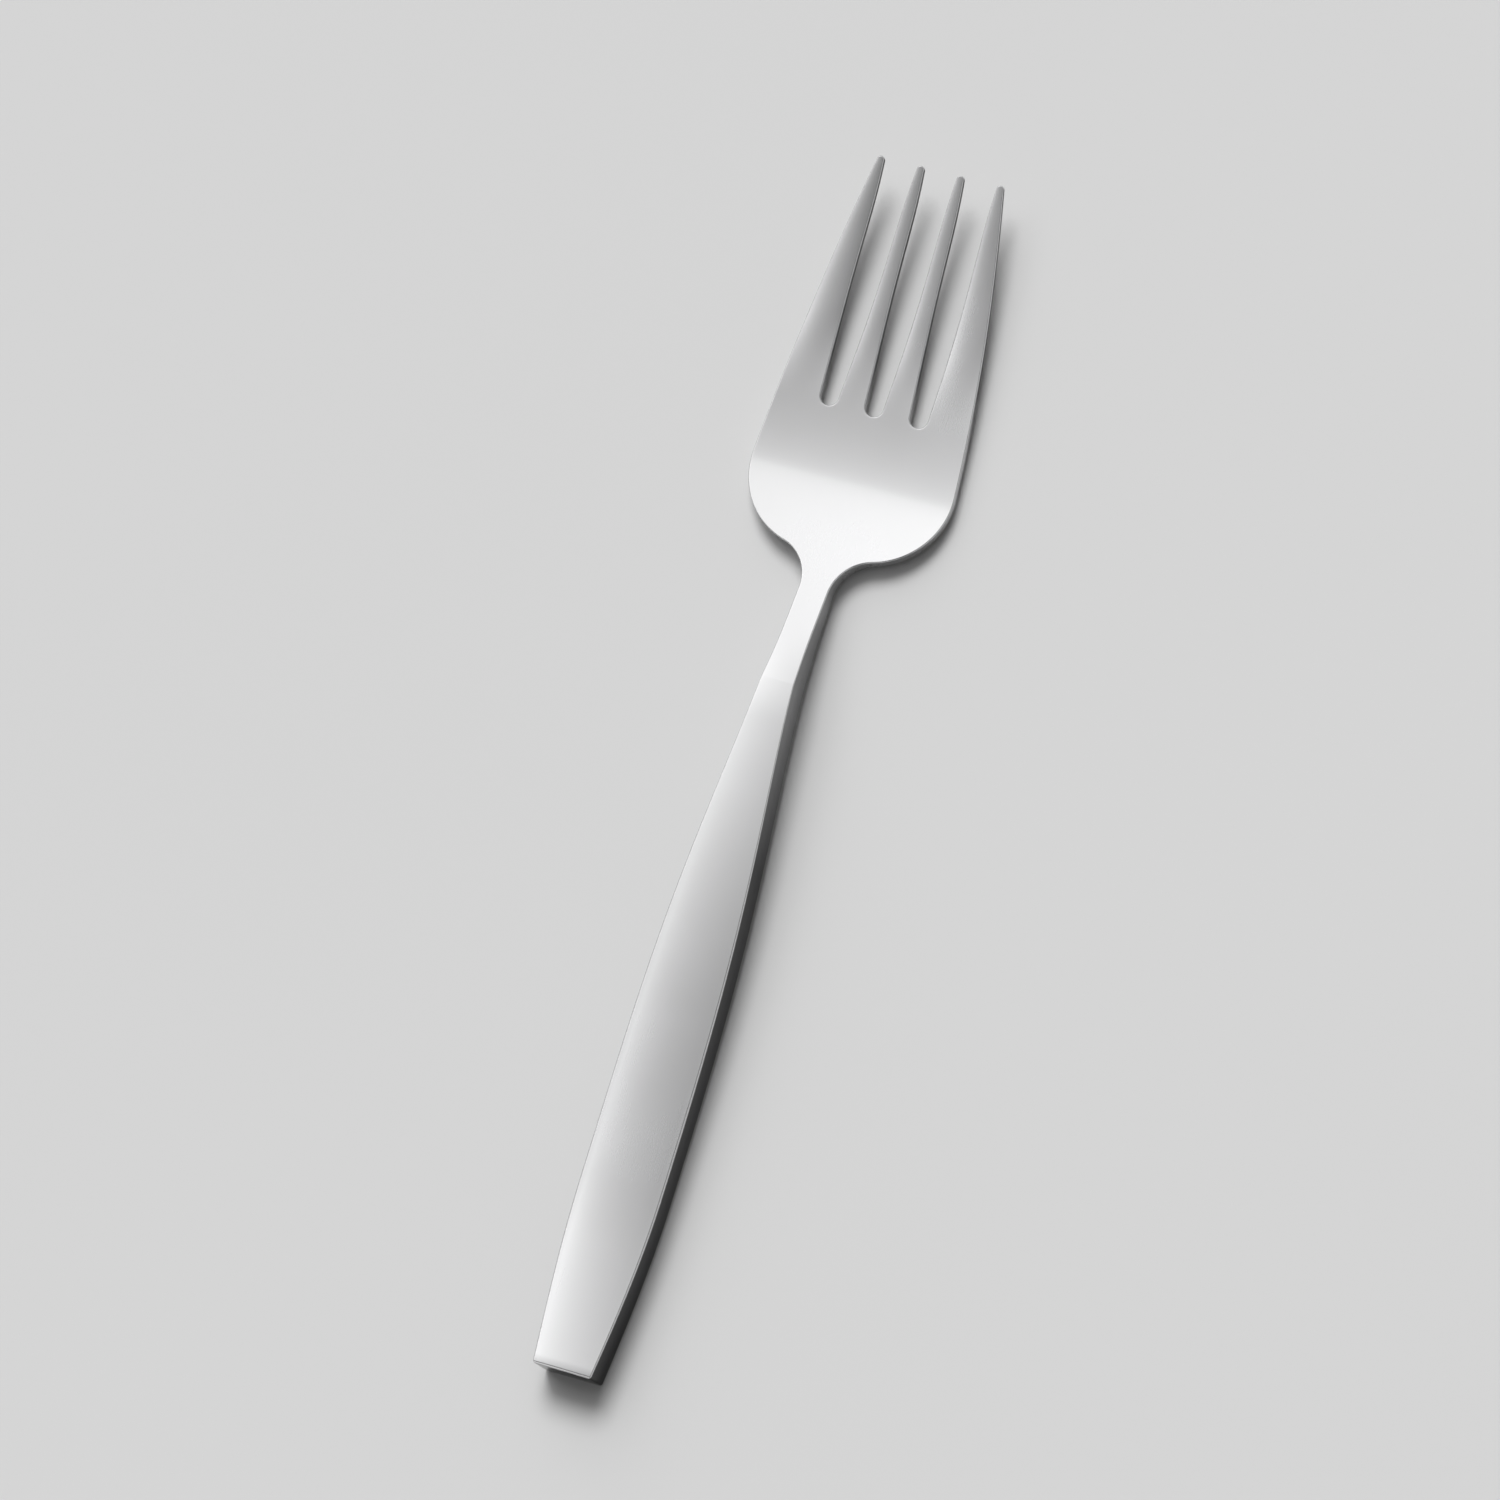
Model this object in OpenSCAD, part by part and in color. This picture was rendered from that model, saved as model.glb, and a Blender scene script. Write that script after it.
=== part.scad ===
// Fish fork with a hollow handle: four tines, shallow bowl, waisted neck, boat-shaped handle.
// Units are millimetres. +X runs to the tine tips, +Y to the fork's left, +Z up from the table.
// The origin lies on the table under the middle of the fork's length.

/* [Lengths] */
// Handle, from its butt end to the joint with the head
handle_length = 108.4; // [90:0.1:130]
// Head, from the joint to the tine tips
head_length = 82; // [70:1:95]
// Tines, from the slot bottoms to the tips
tine_length = 38.5; // [30:0.1:45]
// Tang, from the joint into the handle
tang_length = 46; // [30:1:60]

/* [Handle] */
// Width across the butt end
butt_width = 9.3; // [7:0.1:12]
// Width at the widest point
belly_width = 13.1; // [11:0.1:16]
// Distance of the widest point from the butt end
belly_from_butt = 29; // [22:1:40]
// How late the handle narrows towards the neck
taper_skew = 1.65; // [1.2:0.05:2]
// Height of the side wall from the widest point to the joint
handle_thickness = 6.9; // [5.5:0.1:8]
// Rise of the top face towards the butt end
butt_rise = 1; // [0:0.1:2]
// Radius of the crowned top face across the handle
crown_radius = 40; // [25:1:80]
// Rounding of the top edges at the widest point
edge_radius = 0.35; // [0.2:0.05:1.4]
// Rounding of the bottom edges at the widest point
sole_edge_radius = 1.2; // [0.6:0.05:2.2]
// Rounding of the butt end
butt_radius = 0.4; // [0.2:0.05:1.4]
// Flat length at the butt end that lies on the table
rest_length = 20; // [10:0.5:30]

/* [Shells and filling] */
// Wall of the handle shells
shell_wall = 0.8; // [0.6:0.05:1]
// Height of the seam above the underside
seam_height = 3; // [2.6:0.1:3.4]
// Filling on each side of the tang at the joint
tang_side_room = 0.45; // [0.3:0.05:0.6]
// Filling above and below the tang
tang_height_room = 0.8; // [0.6:0.05:1]
// Narrowing of each tang edge towards its end
tang_taper = 0.35; // [0.1:0.05:0.5]
// Pairs of notches that lock the tang in the filling
notch_count = 4; // [2:1:6]
// Depth of a notch
notch_depth = 0.3; // [0.2:0.05:0.4]
// Length of a notch along the tang
notch_length = 2.4; // [1.6:0.1:3.2]

/* [Neck and bowl] */
// Width of the neck at its waist
neck_width = 4.7; // [4.2:0.1:6]
// Distance of the waist from the joint
waist_from_joint = 9.5; // [6:0.1:11]
// Height of the arch under the handle
arch_rise = 1.8; // [0.5:0.1:4]
// Distance of the arch's highest point from the joint
arch_from_joint = 6; // [0:0.5:20]
// Width of the bowl at its widest point
bowl_width = 32.6; // [29:0.1:36]
// Distance of the bowl's widest point from the joint
bowl_from_joint = 33.6; // [31:0.1:37]
// Radius of the bowl's shoulders
shoulder_radius = 12.4; // [10:0.1:14]
// Radius of the hollow curve between neck and bowl
fillet_radius = 6.6; // [4:0.1:7.5]
// Radius of the bowed outer edges from the bowl to the tips
side_radius = 370; // [250:10:600]
// Radius of the bowl's hollow across the fork
dish_radius = 250; // [150:10:400]
// Thickness of the bowl
bowl_thickness = 2.5; // [1.5:0.1:3]
// How early the top face falls from the joint to the bowl
fall_curve = 1.5; // [1.1:0.05:2]
// Distance from the joint to where the bowl meets the table
sole_from_joint = 28; // [20:0.5:31]
// Distance from the joint to where the tines start to rise
lift_from_joint = 33; // [31:0.5:38]

/* [Tines] */
// Number of tines
tine_count = 4; // [3:1:5]
// Spacing of the tine tips
tip_pitch = 6.45; // [5.8:0.05:7.2]
// Width of a tine at its rounded tip
tip_width = 1.15; // [0.8:0.05:1.6]
// Thickness of the tines at the tips
tip_thickness = 1.3; // [0.9:0.1:1.8]
// Height of the underside of the tips above the table
tip_lift = 5.8; // [3:0.1:9]
// How late the tines rise
lift_curve = 1.4; // [1.2:0.05:2.2]
// Spacing of the slots at their rounded bottoms
slot_pitch = 7.25; // [6.8:0.05:8]
// Width of a slot at its rounded bottom
slot_width = 2.9; // [1.8:0.05:3.2]

/* [Hidden] */
// Least rounding inside the shells
least_radius = 0.15;
// Reach of the head's blank beyond the bowl's edge and height
blank_margin = 2;
// Length of the tang's root inside the neck
tang_root = 3;
// Steps of the lofted handle along its length, its rounded butt, its corners and its crown
handle_steps = 30;
butt_steps = 3;
corner_steps = 4;
crown_steps = 6;
// Steps of each curved stretch of the head's outline and side profile
neck_steps = 8;
fillet_steps = 8;
shoulder_steps = 14;
side_steps = 10;
slot_steps = 10;
slot_arc_steps = 8;
tip_arc_steps = 6;
profile_steps = 12;

joint_x = handle_length;
tip_x = handle_length + head_length;
middle_x = tip_x / 2;
arch_x = joint_x - arch_from_joint;
waist_x = joint_x + waist_from_joint;
sole_x = joint_x + sole_from_joint;
lift_x = joint_x + lift_from_joint;
bowl_x = joint_x + bowl_from_joint;
tang_x = joint_x - tang_length;
tip_radius = tip_width / 2;
mouth_x = tip_x - tip_radius;
slot_radius = slot_width / 2;
slot_x = tip_x - tine_length + slot_radius;
mouth_half = (tip_pitch - tip_width) / 2;
outer_tip_y = tip_pitch * (tine_count - 1) / 2;
shoulder_y = bowl_width / 2 - shoulder_radius;
tang_half = half_width(joint_x) - shell_wall - tang_side_room;
joint_top = underside(joint_x) + handle_thickness;
tang_thickness = handle_thickness - 2 * (shell_wall + tang_height_room);
notch_pitch = tang_length / (notch_count + 1);

// Curves shared by all pieces
function ease(t) = (1 - cos(180 * min(max(t, 0), 1))) / 2;
function mix(a, b, t) = a + (b - a) * t;
function flat(lists) = [for (list = lists) each list];
function reversed(list) = [for (i = [len(list) - 1:-1:0]) list[i]];
function mirrored(list) = [for (p = reversed(list)) [p[0], -p[1]]];
function arc(centre, radius, from, to, steps) =
    [for (i = [0:steps]) centre + radius * [cos(mix(from, to, i / steps)), sin(mix(from, to, i / steps))]];
function bearing(v) = atan2(v[1], v[0]);

// Half width of the handle and the neck at a distance from the butt end
function half_width(x) =
    x < belly_from_butt ? mix(butt_width, belly_width, sin(90 * x / belly_from_butt)) / 2
    : mix(belly_width, neck_width, ease(pow(taper_part(x), taper_skew))) / 2;
function taper_part(x) = min(1, (x - belly_from_butt) / (waist_x - belly_from_butt));

// Height of the underside along the middle of the fork
function underside(x) =
    x < arch_x ? arch_rise * ease((x - rest_length) / (arch_x - rest_length))
    : x < lift_x ? arch_rise * (1 - ease((x - arch_x) / (sole_x - arch_x)))
    : tip_lift * pow((x - lift_x) / (tip_x - lift_x), lift_curve);

// Thickness along the middle of the fork
function thickness(x) =
    x < belly_from_butt ? handle_thickness + butt_rise * pow(1 - x / belly_from_butt, 2)
    : x < joint_x ? handle_thickness
    : x < lift_x ? mix(bowl_thickness, joint_top, pow(root_part(x), fall_curve)) - underside(x)
    : mix(bowl_thickness, tip_thickness, (x - lift_x) / (tip_x - lift_x));
function root_part(x) = (lift_x - x) / lift_from_joint;

function seam(x) = underside(x) + seam_height;
function tang_middle(x) = underside(x) + handle_thickness / 2;
function rounding(x, radius, inset) = max(least_radius, radius * half_width(x) / (belly_width / 2) - inset);

// Upper half of the handle's section, from the left seam over the crown to the right seam
function upper_loop(x, inset) =
    let (half = half_width(x) - inset)
    let (edge = underside(x) + thickness(x) - inset)
    let (round_r = rounding(x, edge_radius, inset))
    let (inner = half - round_r)
    let (crown = function(y) edge + (half * half - y * y) / (2 * crown_radius))
    let (corner = arc([inner, crown(inner) - round_r], round_r, 0, 90, corner_steps))
    let (side = concat([[half, seam(x)]], corner))
    let (top = [for (i = [1:crown_steps - 1]) mix(inner, -inner, i / crown_steps)])
    concat(
        [for (p = side) [x, p[0], p[1]]],
        [for (y = top) [x, y, crown(y)]],
        [for (p = reversed(side)) [x, -p[0], p[1]]]);

// Lower half of the handle's section, from the left seam under the sole to the right seam
function lower_loop(x, inset) =
    let (half = half_width(x) - inset)
    let (sole = underside(x) + inset)
    let (round_r = rounding(x, sole_edge_radius, inset))
    let (corner = arc([half - round_r, sole + round_r], round_r, 0, -90, corner_steps))
    let (side = concat([[half, seam(x)]], corner))
    concat([for (p = side) [x, p[0], p[1]]], [for (p = reversed(side)) [x, -p[0], p[1]]]);

// Stations of the lofted handle: a rounded butt, then even steps to the joint
first_x = max(butt_radius, shell_wall);
step_x = (joint_x - first_x) / handle_steps;
even_x = [for (i = [1:handle_steps]) first_x + i * step_x];
butt_angles = [for (i = [0:butt_steps]) 90 * i / butt_steps];
inner_x = concat([shell_wall], even_x);

function outer_loops(section) = concat(
    [for (a = butt_angles) section(butt_radius * (1 - cos(a)), butt_radius * (1 - sin(a)))],
    [for (x = even_x) section(x, 0)]);
function inner_loops(section) = [for (x = inner_x) section(x, shell_wall)];

function quad(a, b, c, d) = [[a, b, c], [a, c, d]];
function skin(at, rows, columns) =
    flat([for (i = [0:rows - 2]) each [for (j = [0:columns - 2])
        quad(at(i, j), at(i + 1, j), at(i + 1, j + 1), at(i, j + 1))]]);
function turned(faces, turn) = turn ? [for (face = faces) reversed(face)] : faces;

// Half shell with a closed butt end and an open mouth at the joint
module half_shell(outer, inner, turn) {
    columns = len(outer[0]);
    rows = len(outer);
    inner_rows = len(inner);
    last = columns - 1;
    out = function(i, j) i * columns + j;
    in = function(i, j) (rows + i) * columns + j;
    butt = [for (j = [0:last]) out(0, j)];
    end_wall = [for (j = [last:-1:0]) in(0, j)];
    mouth = flat([for (j = [0:last - 1])
        quad(out(rows - 1, j), in(inner_rows - 1, j), in(inner_rows - 1, j + 1), out(rows - 1, j + 1))]);
    end_seam = concat(
        [for (i = [0:butt_steps]) out(i, last)],
        [in(0, last), in(0, 0)],
        [for (i = [butt_steps:-1:0]) out(i, 0)]);
    side_seams = flat([for (i = [0:inner_rows - 2])
        concat(
            quad(out(i + butt_steps, 0), in(i, 0), in(i + 1, 0), out(i + butt_steps + 1, 0)),
            quad(in(i, last), out(i + butt_steps, last), out(i + butt_steps + 1, last), in(i + 1, last)))]);
    faces = concat(
        skin(out, rows, columns),
        turned(skin(in, inner_rows, columns), true),
        [butt, end_wall, end_seam],
        mouth,
        side_seams);
    polyhedron(points = flat(concat(outer, inner)), faces = turned(faces, turn), convexity = 6);
}

// Section of the hollow, and the section of the tang with as many points
function hollow_loop(x) = closed_loop(upper_loop(x, shell_wall), lower_loop(x, shell_wall));
function closed_loop(upper, lower) = concat(upper, [for (i = [len(lower) - 2:-1:1]) lower[i]]);
rise = [for (i = [1:corner_steps + 1]) i / (corner_steps + 1)];
across = [for (i = [1:crown_steps - 1]) mix(1, -1, i / crown_steps)];
tang_square = closed_loop(
    concat(
        [[1, 0]],
        [for (v = rise) [1, v]],
        [for (u = across) [u, 1]],
        [for (v = reversed(rise)) [-1, v]],
        [[-1, 0]]),
    concat(
        [[1, 0]],
        [for (v = rise) [1, -v]],
        [for (v = reversed(rise)) [-1, -v]],
        [[-1, 0]]));
function tang_loop(x, half) =
    [for (p = tang_square) [x, p[0] * half, tang_middle(x) + p[1] * tang_thickness / 2]];

// Filling of the hollow, with room for the tang
module filling() {
    outer = [for (x = inner_x) hollow_loop(x)];
    inner = [for (p = tang_edge) tang_loop(p[0], p[1])];
    columns = len(tang_square);
    rows = len(outer);
    inner_rows = len(inner);
    out = function(i, j) i * columns + j % columns;
    in = function(i, j) (rows + i) * columns + j % columns;
    middle = (rows + inner_rows) * columns;
    tang_end = [tang_x, 0, tang_middle(tang_x)];
    mouth = flat([for (j = [0:columns - 1])
        quad(out(rows - 1, j), in(inner_rows - 1, j), in(inner_rows - 1, j + 1), out(rows - 1, j + 1))]);
    faces = concat(
        skin(out, rows, columns + 1),
        turned(skin(in, inner_rows, columns + 1), true),
        [[for (j = [0:columns - 1]) out(0, j)]],
        [for (j = [0:columns - 1]) [in(0, j + 1), in(0, j), middle]],
        mouth);
    polyhedron(points = concat(flat(concat(outer, inner)), [tang_end]), faces = faces, convexity = 6);
}

// Head outline, left side, from the joint to the outer tip
fillet_y = neck_width / 2 + fillet_radius;
fillet_reach = shoulder_radius + fillet_radius;
fillet_x = bowl_x - sqrt(pow(fillet_reach, 2) - pow(shoulder_y - fillet_y, 2));
fillet_bearing = bearing([bowl_x - fillet_x, shoulder_y - fillet_y]);
shoulder_point = [bowl_x, shoulder_y];
outer_corner = [mouth_x, outer_tip_y + tip_radius];
side_centre = circle_meet(shoulder_point, side_radius - shoulder_radius, outer_corner, side_radius);
side_from = bearing(shoulder_point - side_centre);
side_to = bearing(outer_corner - side_centre);

// Meeting point of two circles, on the right of the line from the first centre to the second
function circle_meet(p, p_radius, q, q_radius) =
    let (gap = norm(q - p))
    let (along = (gap * gap + p_radius * p_radius - q_radius * q_radius) / (2 * gap))
    let (across = sqrt(p_radius * p_radius - along * along))
    let (way = (q - p) / gap)
    p + along * way + across * [way[1], -way[0]];

neck_side = [for (i = [0:neck_steps]) let (x = mix(joint_x, waist_x, i / neck_steps)) [x, half_width(x)]];
fillet_side = arc([fillet_x, fillet_y], fillet_radius, -90, fillet_bearing, fillet_steps);
shoulder_side = arc(shoulder_point, shoulder_radius, fillet_bearing + 180, side_from, shoulder_steps);
outer_side = arc(side_centre, side_radius, side_from, side_to, side_steps);
head_side = concat(
    neck_side,
    fillet_side,
    [for (i = [1:shoulder_steps]) shoulder_side[i]],
    [for (i = [1:side_steps]) outer_side[i]]);

// Slot between two tines, from its left mouth round the bottom to its right mouth
function slot_half(t) = mix(slot_radius, mouth_half, sin(90 * t));
function slot_edge(bottom_y, mouth_y, side, t) =
    [mix(slot_x, mouth_x, t), mix(bottom_y, mouth_y, t) + side * slot_half(t)];
function slot(bottom_y, mouth_y) = concat(
    [for (i = [slot_steps - 1:-1:1]) slot_edge(bottom_y, mouth_y, 1, i / slot_steps)],
    arc([slot_x, bottom_y], slot_radius, 90, 270, slot_arc_steps),
    [for (i = [1:slot_steps - 1]) slot_edge(bottom_y, mouth_y, -1, i / slot_steps)]);
function tip(i) =
    arc([mouth_x, outer_tip_y - i * tip_pitch], tip_radius, 90, -90, tip_arc_steps);
function slot_rank(i) = (tine_count - 2) / 2 - i;
tine_ends = flat([for (i = [0:tine_count - 1])
    concat(tip(i), i < tine_count - 1 ? slot(slot_rank(i) * slot_pitch, slot_rank(i) * tip_pitch) : [])]);
right_side = mirrored(head_side);
head_outline = concat(
    [for (i = [0:len(head_side) - 2]) head_side[i]],
    tine_ends,
    [for (i = [1:len(right_side) - 1]) right_side[i]]);

// Tang outline, left side, from its end to the joint
function tang_side(x) = tang_half - tang_taper * (joint_x - x) / tang_length;
function notch(x) = [
    [x - notch_length / 2, tang_side(x - notch_length / 2)],
    [x, tang_side(x) - notch_depth],
    [x + notch_length / 2, tang_side(x + notch_length / 2)]];
tang_edge = concat(
    [[tang_x, tang_side(tang_x)]],
    flat([for (i = [1:notch_count]) notch(tang_x + i * notch_pitch)]),
    [[joint_x, tang_half]]);

// Side profiles, as heights along the middle of the fork
head_x = concat(
    [for (i = [0:profile_steps - 1]) mix(joint_x, lift_x, i / profile_steps)],
    [for (i = [0:profile_steps]) mix(lift_x, tip_x, i / profile_steps)],
    [tip_x + blank_margin]);
head_under = [for (x = head_x) [x, underside(x)]];
head_over = [for (x = head_x) [x, underside(x) + thickness(x)]];
function tang_height(x, side) = [x, tang_middle(min(x, joint_x)) + side * tang_thickness / 2];
rooted_edge = concat(tang_edge, [[joint_x + tang_root, tang_half]]);
tang_under = [for (p = rooted_edge) tang_height(p[0], -1)];
tang_over = [for (p = rooted_edge) tang_height(p[0], 1)];
blank_height = joint_top + tip_lift + blank_margin;
dish_angle = asin((bowl_width / 2 + blank_margin) / (dish_radius - blank_height));

// Side profile swept across the fork round an axis above the bowl
module dished(profile) {
    translate([0, 0, dish_radius])
        rotate([0, 90, 0])
            rotate_extrude(angle = 2 * dish_angle, start = -dish_angle, $fn = 180)
                polygon([for (p = profile) [dish_radius - p[1], p[0]]]);
}
module blank(outline) {
    translate([0, 0, -blank_margin])
        linear_extrude(dish_radius)
            polygon(outline);
}
// Notched tang, rooted in the neck
module tang() {
    intersection() {
        blank(concat(rooted_edge, mirrored(rooted_edge)));
        rotate([90, 0, 0])
            linear_extrude(2 * tang_half + blank_margin, center = true)
                polygon(concat(tang_under, reversed(tang_over)));
    }
}
module placed() {
    translate([-middle_x, 0, 0])
        children();
}

// Head with tines, bowl, neck, shoulder and notched tang, in one piece
module fork_head() {
    color([0.78, 0.78, 0.8])
        placed() {
            intersection() {
                blank(head_outline);
                dished(concat(head_under, reversed(head_over)));
            }
            tang();
        }
}

// Crowned upper half of the hollow handle
module handle_upper_shell() {
    color([0.72, 0.74, 0.78])
        placed()
            half_shell(
                outer_loops(function(x, inset) upper_loop(x, inset)),
                inner_loops(function(x, inset) upper_loop(x, inset)),
                false);
}

// Lower half of the hollow handle, with the flat that lies on the table
module handle_lower_shell() {
    color([0.6, 0.63, 0.68])
        placed()
            half_shell(
                outer_loops(function(x, inset) lower_loop(x, inset)),
                inner_loops(function(x, inset) lower_loop(x, inset)),
                true);
}

// Cement that fills the hollow round the tang
module handle_filler() {
    color([0.55, 0.5, 0.44])
        placed()
            filling();
}

fork_head();
handle_upper_shell();
handle_lower_shell();
handle_filler();
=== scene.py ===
import math

import bpy
import numpy as np
from mathutils import Matrix, Vector
from mathutils.geometry import delaunay_2d_cdt


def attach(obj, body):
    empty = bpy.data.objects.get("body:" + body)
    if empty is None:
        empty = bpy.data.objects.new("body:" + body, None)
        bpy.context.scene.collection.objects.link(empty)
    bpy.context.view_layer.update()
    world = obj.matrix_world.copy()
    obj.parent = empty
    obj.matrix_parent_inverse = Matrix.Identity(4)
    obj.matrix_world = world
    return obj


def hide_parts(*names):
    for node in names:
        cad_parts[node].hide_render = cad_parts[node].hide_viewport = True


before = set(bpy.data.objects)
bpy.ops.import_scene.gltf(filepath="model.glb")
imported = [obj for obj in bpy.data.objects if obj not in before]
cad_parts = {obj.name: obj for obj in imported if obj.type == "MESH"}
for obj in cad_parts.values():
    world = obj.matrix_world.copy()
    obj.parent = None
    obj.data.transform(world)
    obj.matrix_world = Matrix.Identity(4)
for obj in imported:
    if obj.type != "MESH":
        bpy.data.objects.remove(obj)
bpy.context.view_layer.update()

# Sizes in millimetres, with the names of the part's source. X runs from the butt end.
MM = 0.001
HANDLE_LENGTH = 108.4
HEAD_LENGTH = 82.0
TINE_LENGTH = 38.5
TANG_LENGTH = 46.0

BUTT_WIDTH = 9.3
BELLY_WIDTH = 13.1
BELLY_FROM_BUTT = 29.0
TAPER_SKEW = 1.65
HANDLE_THICKNESS = 6.9
BUTT_RISE = 1.0
CROWN_RADIUS = 40.0
EDGE_RADIUS = 0.35
SOLE_EDGE_RADIUS = 1.2
BUTT_RADIUS = 0.4
REST_LENGTH = 20.0

SHELL_WALL = 0.8
SEAM_HEIGHT = 3.0
TANG_SIDE_ROOM = 0.45
TANG_HEIGHT_ROOM = 0.8
TANG_TAPER = 0.35
NOTCH_COUNT = 4
NOTCH_DEPTH = 0.3
NOTCH_LENGTH = 2.4
LEAST_RADIUS = 0.15

NECK_WIDTH = 4.7
WAIST_FROM_JOINT = 9.5
ARCH_RISE = 1.8
ARCH_FROM_JOINT = 6.0
BOWL_WIDTH = 32.6
BOWL_FROM_JOINT = 33.6
SHOULDER_RADIUS = 12.4
FILLET_RADIUS = 6.6
SIDE_RADIUS = 370.0
DISH_RADIUS = 250.0
BOWL_THICKNESS = 2.5
FALL_CURVE = 1.5
SOLE_FROM_JOINT = 28.0
LIFT_FROM_JOINT = 33.0

TINE_COUNT = 4
TIP_PITCH = 6.45
TIP_WIDTH = 1.15
TIP_THICKNESS = 1.3
TIP_LIFT = 5.8
LIFT_CURVE = 1.4
SLOT_PITCH = 7.25
SLOT_WIDTH = 2.9

# Finer forms that the source leaves plain.
# Roundings of the head's edges, on top and on the back:
HEAD_EDGE = 0.22
TIP_EDGE = 0.18
BACK_EDGE = 1.2
TIP_BACK_EDGE = 0.4
# Hollow of the top face, and the handle's crown running out on the neck:
TOP_DISH_RADIUS = 500.0
CROWN_FADE = 10.0
# Crown of the tines as a share of half their width, and their fuller sides towards the tips:
TINE_CROWN = 0.09
CROWN_RUN = 15.0
TINE_SWELL = 0.27
SWELL_SKEW = 3.0

JOINT_X = HANDLE_LENGTH
TIP_X = HANDLE_LENGTH + HEAD_LENGTH
MIDDLE_X = TIP_X / 2
ARCH_X = JOINT_X - ARCH_FROM_JOINT
WAIST_X = JOINT_X + WAIST_FROM_JOINT
SOLE_X = JOINT_X + SOLE_FROM_JOINT
LIFT_X = JOINT_X + LIFT_FROM_JOINT
BOWL_X = JOINT_X + BOWL_FROM_JOINT
TANG_X = JOINT_X - TANG_LENGTH
TIP_RADIUS = TIP_WIDTH / 2
MOUTH_X = TIP_X - TIP_RADIUS
SLOT_RADIUS = SLOT_WIDTH / 2
SLOT_X = TIP_X - TINE_LENGTH + SLOT_RADIUS
APEX_X = SLOT_X - SLOT_RADIUS
MOUTH_HALF = (TIP_PITCH - TIP_WIDTH) / 2
OUTER_TIP_Y = TIP_PITCH * (TINE_COUNT - 1) / 2
SHOULDER_Y = BOWL_WIDTH / 2 - SHOULDER_RADIUS


# Curves of the part's source
def mix(a, b, t):
    return a + (b - a) * t


def clamp(t, low=0.0, high=1.0):
    return min(max(t, low), high)


def ease(t):
    return (1 - math.cos(math.pi * clamp(t))) / 2


def arc(centre, radius, start, end, steps):
    angles = [mix(start, end, i / steps) for i in range(steps + 1)]
    return [(centre[0] + radius * math.cos(a), centre[1] + radius * math.sin(a)) for a in angles]


def half_width(x):
    if x < BELLY_FROM_BUTT:
        return mix(BUTT_WIDTH, BELLY_WIDTH, math.sin(math.pi / 2 * x / BELLY_FROM_BUTT)) / 2
    part = clamp((x - BELLY_FROM_BUTT) / (WAIST_X - BELLY_FROM_BUTT))
    return mix(BELLY_WIDTH, NECK_WIDTH, ease(part ** TAPER_SKEW)) / 2


def underside(x):
    if x < ARCH_X:
        return ARCH_RISE * ease((x - REST_LENGTH) / (ARCH_X - REST_LENGTH))
    if x < LIFT_X:
        return ARCH_RISE * (1 - ease((x - ARCH_X) / (SOLE_X - ARCH_X)))
    return TIP_LIFT * ((x - LIFT_X) / (TIP_X - LIFT_X)) ** LIFT_CURVE


JOINT_TOP = underside(JOINT_X) + HANDLE_THICKNESS
TANG_HALF = half_width(JOINT_X) - SHELL_WALL - TANG_SIDE_ROOM
TANG_THICKNESS = HANDLE_THICKNESS - 2 * (SHELL_WALL + TANG_HEIGHT_ROOM)


def thickness(x):
    if x < BELLY_FROM_BUTT:
        return HANDLE_THICKNESS + BUTT_RISE * (1 - x / BELLY_FROM_BUTT) ** 2
    if x < JOINT_X:
        return HANDLE_THICKNESS
    if x < LIFT_X:
        root = (LIFT_X - x) / LIFT_FROM_JOINT
        return mix(BOWL_THICKNESS, JOINT_TOP, root ** FALL_CURVE) - underside(x)
    return mix(BOWL_THICKNESS, TIP_THICKNESS, clamp((x - LIFT_X) / (TIP_X - LIFT_X)))


def seam(x):
    return underside(x) + SEAM_HEIGHT


def tang_middle(x):
    return underside(x) + HANDLE_THICKNESS / 2


def rounding(x, radius, inset):
    return max(LEAST_RADIUS, radius * half_width(x) / (BELLY_WIDTH / 2) - inset)


def place(p):
    """Point of the sizes above in the shared frame, in metres."""
    return ((p[0] - MIDDLE_X) * MM, p[1] * MM, p[2] * MM)


# Points that round to the same place, at this many steps in a millimetre, are one point
STEPS_PER_MM = 5000


class Shape:
    """Mesh with shared points, flat faces, and smooth faces whose normals can be given."""

    def __init__(self):
        self.points = []
        self.normals = []
        self.index = {}
        self.faces = []
        self.flat = []

    def point(self, p, normal=None):
        key = tuple(round(c * STEPS_PER_MM) for c in p)
        if key not in self.index:
            self.index[key] = len(self.points)
            self.points.append(p)
            self.normals.append(normal)
        return self.index[key]

    def face(self, corners, flat=False):
        loop = [c for i, c in enumerate(corners) if c != corners[i - 1]]
        if len(loop) > 2:
            self.faces.append(loop)
            self.flat.append(flat)

    def strip(self, first, second):
        for i in range(len(first) - 1):
            self.face([first[i], second[i], second[i + 1], first[i + 1]])

    def to_object(self, name):
        mesh = bpy.data.meshes.new(name)
        mesh.from_pydata([place(p) for p in self.points], [], self.faces)
        mesh.polygons.foreach_set("use_smooth", [not f for f in self.flat])
        obj = bpy.data.objects.new(name, mesh)
        bpy.context.scene.collection.objects.link(obj)
        return obj

    def set_normals(self, obj):
        corners = []
        for polygon, flat in zip(obj.data.polygons, self.flat):
            for v in polygon.vertices:
                known = self.normals[v]
                corners.append(polygon.normal if flat or known is None else known)
        obj.data.normals_split_custom_set([tuple(c) for c in corners])


# Handle shells as closed lofts
HANDLE_STEPS = 150
BUTT_STEPS = 8
CORNER_STEPS = 8
CROWN_STEPS = 20
SHARP_ANGLE = 40


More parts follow.
